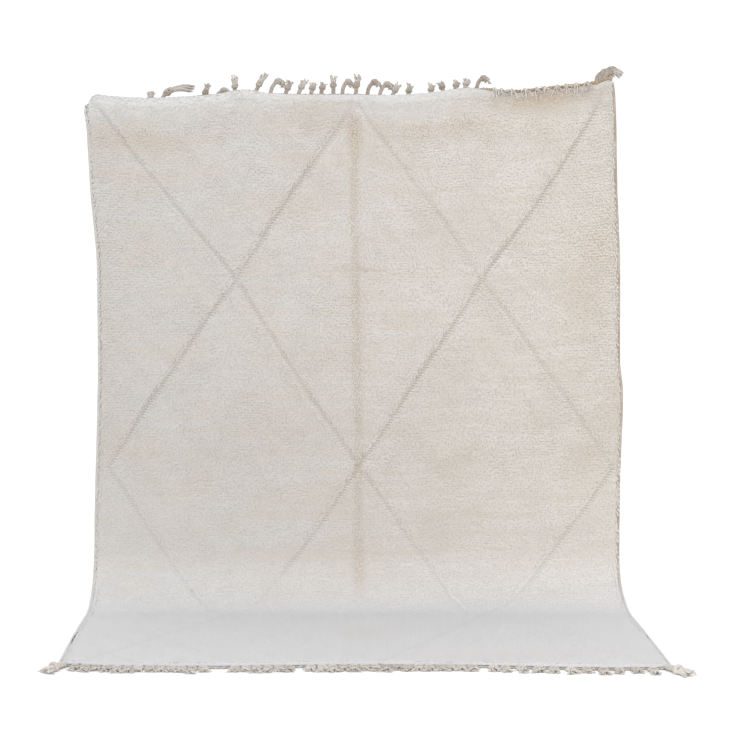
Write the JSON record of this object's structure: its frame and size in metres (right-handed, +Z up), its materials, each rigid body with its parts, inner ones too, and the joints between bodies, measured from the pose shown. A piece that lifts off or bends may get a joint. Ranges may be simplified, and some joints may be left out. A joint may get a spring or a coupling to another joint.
{
  "type": "beni ourain rug",
  "caption": "Thick ivory pile rug with a sunk diamond lattice, hung by its top end and swept forward over the floor, with knotted tassels at both ends.",
  "frame": {"origin": "on the floor, under the middle of the whole object's box", "axes": "+Z up, +X to the viewer's right, and the hanging pile faces -Y"},
  "size_m": [2.2315, 1.2646, 2.1773],
  "materials": {
    "pile": "hand-spun ivory wool, cut pile",
    "fringe": "twisted undyed warp yarn, knotted",
    "selvedge": "overcast wool cord"
  },
  "bodies": {
    "root": {"rug": "pile", "fringe_top": "fringe", "fringe_front": "fringe", "selvedge_left": "selvedge", "selvedge_right": "selvedge"}
  },
  "joints": []
}
